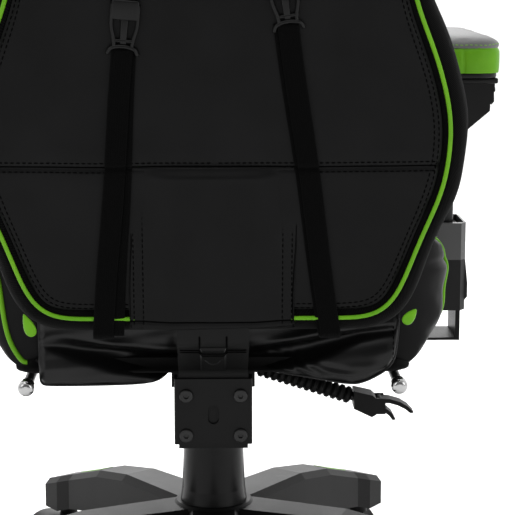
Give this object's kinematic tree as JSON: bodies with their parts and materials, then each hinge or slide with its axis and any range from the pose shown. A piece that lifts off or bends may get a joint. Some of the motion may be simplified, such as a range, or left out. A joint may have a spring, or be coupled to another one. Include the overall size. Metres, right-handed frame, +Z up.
{
  "type": "gaming chair",
  "caption": "High-backed upholstered swivel chair on a five-legged caster base, with reclining back, height-adjustable arms and a pull-out footrest.",
  "frame": {"origin": "on the floor, on the column's swivel axis", "axes": "+Z up; the sitter faces -Y, the back of the chair is at +Y, the sitter's left is +X"},
  "size_m": [0.6752, 0.6691, 1.2367],
  "materials": {
    "base_nylon": "satin moulded nylon",
    "inlay_green": "satin green",
    "stem_steel": "zinc plated",
    "tube_black": "satin black",
    "bush_nylon": "natural nylon",
    "cylinder_steel": "ground",
    "cover_plastic": "textured",
    "plate_black": "powder coat",
    "bolt_black": "black oxide",
    "board_wood": "plywood",
    "upholstery_black": "smooth PU",
    "webbing": "woven",
    "buckle_plastic": "acetal",
    "arm_plastic": "textured",
    "arm_steel": "satin black",
    "arm_upholstery": "grained PU",
    "lever_plastic": "textured",
    "cap_chrome": "polished",
    "caster_plastic": "moulded",
    "wheel_plastic": "tread"
  },
  "bodies": {
    "base": {"base_star": "base_nylon", "base_inlays": "inlay_green", "caster_stems": "stem_steel", "lift_tube": "tube_black", "lift_bush": "bush_nylon", "lift_rod": "stem_steel", "lift_bearing": "stem_steel", "column_cover_lower": "cover_plastic"},
    "cover_middle": {"column_cover_middle": "cover_plastic"},
    "lift": {"column_cover_upper": "cover_plastic"},
    "seat": {"gas_cylinder": "cylinder_steel", "mechanism_tray": "plate_black", "pivot_pin": "stem_steel", "seat_screws": "stem_steel", "seat_board": "board_wood", "seat_pad": "upholstery_black", "seat_bolsters": "upholstery_black", "arm_brackets": "plate_black", "arm_shrouds_lower": "arm_plastic", "arm_shrouds_upper": "arm_plastic", "lever_tube": "tube_black", "lever_bellows": "lever_plastic", "lever_block": "lever_plastic", "footrest_guides": "tube_black"},
    "release": {"release_pin": "stem_steel"},
    "back": {"back_bracket": "plate_black", "back_spine": "plate_black", "back_bolts": "bolt_black", "back_frame": "plate_black", "back_foam": "upholstery_black", "back_bolsters": "upholstery_black", "back_flap": "upholstery_black", "back_straps": "webbing", "strap_buckles": "buckle_plastic", "lumbar_pillow": "upholstery_black", "head_pillow": "upholstery_black"},
    "arm_left": {"arm_post_left": "arm_steel", "arm_sleeve_left": "arm_plastic", "arm_pad_left": "arm_upholstery"},
    "arm_right": {"arm_post_right": "arm_steel", "arm_sleeve_right": "arm_plastic", "arm_pad_right": "arm_upholstery"},
    "arm_lever_left": {"arm_release_left": "arm_plastic"},
    "arm_lever_right": {"arm_release_right": "arm_plastic"},
    "lift_lever": {"lift_paddle": "lever_plastic"},
    "recline_lever": {"recline_paddle": "lever_plastic"},
    "footrest": {"footrest_rods": "tube_black", "rod_caps": "cap_chrome"},
    "footrest_flap": {"footrest_plate": "plate_black", "footrest_cushion": "upholstery_black"},
    "caster_1": {"caster_hood_1": "caster_plastic"},
    "wheels_1": {"caster_wheels_1": "wheel_plastic"},
    "caster_2": {"caster_hood_2": "caster_plastic"},
    "wheels_2": {"caster_wheels_2": "wheel_plastic"},
    "caster_3": {"caster_hood_3": "caster_plastic"},
    "wheels_3": {"caster_wheels_3": "wheel_plastic"},
    "caster_4": {"caster_hood_4": "caster_plastic"},
    "wheels_4": {"caster_wheels_4": "wheel_plastic"},
    "caster_5": {"caster_hood_5": "caster_plastic"},
    "wheels_5": {"caster_wheels_5": "wheel_plastic"}
  },
  "joints": [
    {"name": "lift_slide", "type": "slide", "parent": "base", "child": "lift", "axis": [0, 0, 1], "range_m": [0, 0.08]},
    {"name": "cover_middle_slide", "type": "slide", "parent": "base", "child": "cover_middle", "axis": [0, 0, 1], "range_m": [0, 0.04]},
    {"name": "seat_swivel", "type": "hinge", "parent": "lift", "child": "seat", "pos_m": [0, 0, 0.26], "axis": [0, 0, 1], "continuous": true},
    {"name": "back_recline", "type": "hinge", "parent": "seat", "child": "back", "pos_m": [0, 0.14, 0.3], "axis": [-1, 0, 0], "range_deg": [0, 50]},
    {"name": "arm_height_left", "type": "slide", "parent": "seat", "child": "arm_left", "axis": [0, 0, 1], "range_m": [-0.025, 0.04]},
    {"name": "arm_height_right", "type": "slide", "parent": "seat", "child": "arm_right", "axis": [0, 0, 1], "range_m": [-0.025, 0.04]},
    {"name": "arm_release_pull_left", "type": "hinge", "parent": "arm_left", "child": "arm_lever_left", "pos_m": [0.305, -0.02, 0.6295], "axis": [0, -1, 0], "range_deg": [0, 12], "stiffness_Nm_per_rad": 0.5},
    {"name": "arm_release_pull_right", "type": "hinge", "parent": "arm_right", "child": "arm_lever_right", "pos_m": [-0.305, -0.02, 0.6295], "axis": [0, 1, 0], "range_deg": [0, 12], "stiffness_Nm_per_rad": 0.5},
    {"name": "lift_paddle_pull", "type": "hinge", "parent": "seat", "child": "lift_lever", "pos_m": [-0.1855, 0.02, 0.282], "axis": [0, 1, 0], "range_deg": [0, 12], "stiffness_Nm_per_rad": 1, "springref_deg": -1.15},
    {"name": "release_pin_push", "type": "slide", "parent": "seat", "child": "release", "axis": [0, 0, -1], "range_m": [0, 0.003]},
    {"name": "recline_paddle_pull", "type": "hinge", "parent": "seat", "child": "recline_lever", "pos_m": [-0.1855, 0.02, 0.2725], "axis": [0, 1, 0], "range_deg": [0, 10], "stiffness_Nm_per_rad": 1, "springref_deg": -1.15},
    {"name": "footrest_slide", "type": "slide", "parent": "seat", "child": "footrest", "axis": [0, -1, 0], "range_m": [0, 0.24]},
    {"name": "footrest_flip", "type": "hinge", "parent": "footrest", "child": "footrest_flap", "pos_m": [0, -0.296, 0.338], "axis": [-1, 0, 0], "range_deg": [0, 180]},
    {"name": "caster_swivel_1", "type": "hinge", "parent": "base", "child": "caster_1", "pos_m": [0, 0.318, 0.06], "axis": [0, 0, 1], "continuous": true},
    {"name": "wheel_roll_1", "type": "hinge", "parent": "caster_1", "child": "wheels_1", "pos_m": [-0.02, 0.318, 0.03], "axis": [0, 1, 0], "continuous": true},
    {"name": "caster_swivel_2", "type": "hinge", "parent": "base", "child": "caster_2", "pos_m": [-0.30244, 0.09827, 0.06], "axis": [0, 0, 1], "continuous": true},
    {"name": "wheel_roll_2", "type": "hinge", "parent": "caster_2", "child": "wheels_2", "pos_m": [-0.30862, 0.07925, 0.03], "axis": [-0.9511, 0.309, 0], "continuous": true},
    {"name": "caster_swivel_3", "type": "hinge", "parent": "base", "child": "caster_3", "pos_m": [-0.18692, -0.25727, 0.06], "axis": [0, 0, 1], "continuous": true},
    {"name": "wheel_roll_3", "type": "hinge", "parent": "caster_3", "child": "wheels_3", "pos_m": [-0.17073, -0.26902, 0.03], "axis": [-0.5878, -0.809, 0], "continuous": true},
    {"name": "caster_swivel_4", "type": "hinge", "parent": "base", "child": "caster_4", "pos_m": [0.18692, -0.25727, 0.06], "axis": [0, 0, 1], "continuous": true},
    {"name": "wheel_roll_4", "type": "hinge", "parent": "caster_4", "child": "wheels_4", "pos_m": [0.2031, -0.24551, 0.03], "axis": [0.5878, -0.809, 0], "continuous": true},
    {"name": "caster_swivel_5", "type": "hinge", "parent": "base", "child": "caster_5", "pos_m": [0.30244, 0.09827, 0.06], "axis": [0, 0, 1], "continuous": true},
    {"name": "wheel_roll_5", "type": "hinge", "parent": "caster_5", "child": "wheels_5", "pos_m": [0.29626, 0.11729, 0.03], "axis": [0.9511, 0.309, 0], "continuous": true}
  ],
  "couplings": [
    {"joint": "cover_middle_slide", "follows": "lift_slide", "ratio": 0.5},
    {"joint": "release_pin_push", "follows": "lift_paddle_pull", "m_per_rad": 0.014276}
  ]
}
